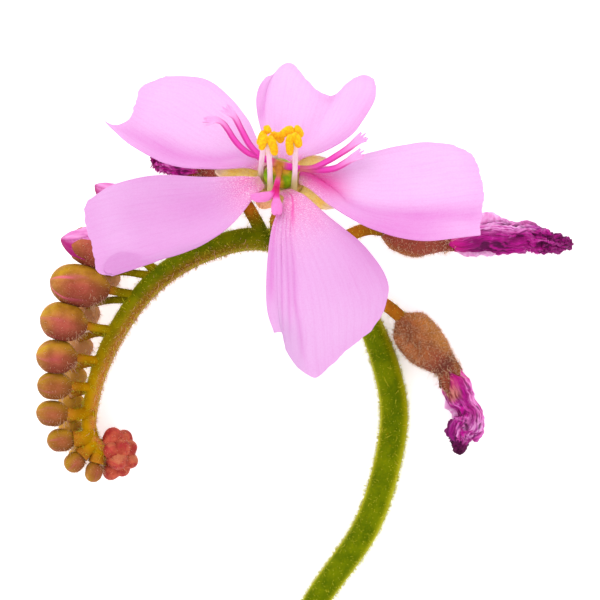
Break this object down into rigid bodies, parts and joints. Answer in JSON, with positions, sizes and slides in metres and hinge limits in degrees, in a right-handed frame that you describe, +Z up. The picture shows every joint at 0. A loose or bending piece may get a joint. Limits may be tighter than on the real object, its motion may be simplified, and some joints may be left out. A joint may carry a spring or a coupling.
{
  "type": "cut sundew flower stem",
  "caption": "Cut flowering stem of a cape sundew lying flat: arched hairy scape with a coil of buds, an open pink flower and withered flowers.",
  "frame": {"origin": "middle of the bounding box in plan, on the surface that the stem lies on", "axes": "+Z up from the surface, +Y from the cut end of the stem towards the open flower's top petal, +X towards the withered flowers"},
  "size_m": [0.0352, 0.0426, 0.016],
  "materials": {
    "stem": "satin, finely hairy, yellow-green",
    "sepal": "satin, pale yellow",
    "petal": "satin, translucent pale orchid pink with fine veins",
    "ovary": "satin, bright green",
    "style": "satin, hot magenta",
    "filament": "satin, translucent white-pink",
    "anther": "matte, saturated yellow",
    "dry_calyx": "matte, brown, densely hairy",
    "dry_petal": "matte, crumpled, magenta to dark purple",
    "bud": "matte, ochre to pinkish brown, hairy",
    "bud_petal": "satin, bright pink",
    "bud_head": "matte, red-pink, hairy"
  },
  "bodies": {
    "root": {"scape": "stem", "calyx_open": "sepal", "petal_top": "petal", "petal_upper_left": "petal", "petal_lower_left": "petal", "petal_bottom": "petal", "petal_right": "petal", "ovary": "ovary", "styles": "style", "filament_1": "filament", "anther_1": "anther", "filament_2": "filament", "anther_2": "anther", "filament_3": "filament", "anther_3": "anther", "filament_4": "filament", "anther_4": "anther", "filament_5": "filament", "anther_5": "anther", "withered_calyx_1": "dry_calyx", "withered_corolla_1": "dry_petal", "withered_calyx_2": "dry_calyx", "withered_corolla_2": "dry_petal", "withered_calyx_3": "dry_calyx", "withered_corolla_3": "dry_petal", "opening_bud_calyx_1": "bud", "opening_bud_corolla_1": "bud_petal", "opening_bud_calyx_2": "bud", "opening_bud_corolla_2": "bud_petal", "bud_front_1": "bud", "bud_front_2": "bud", "bud_front_3": "bud", "bud_front_4": "bud", "bud_front_5": "bud", "bud_front_6": "bud", "bud_front_7": "bud", "bud_front_8": "bud", "bud_rear_1": "bud", "bud_rear_2": "bud", "bud_rear_3": "bud", "bud_rear_4": "bud", "bud_rear_5": "bud", "bud_rear_6": "bud", "bud_rear_7": "bud", "bud_head": "bud_head"}
  },
  "joints": []
}
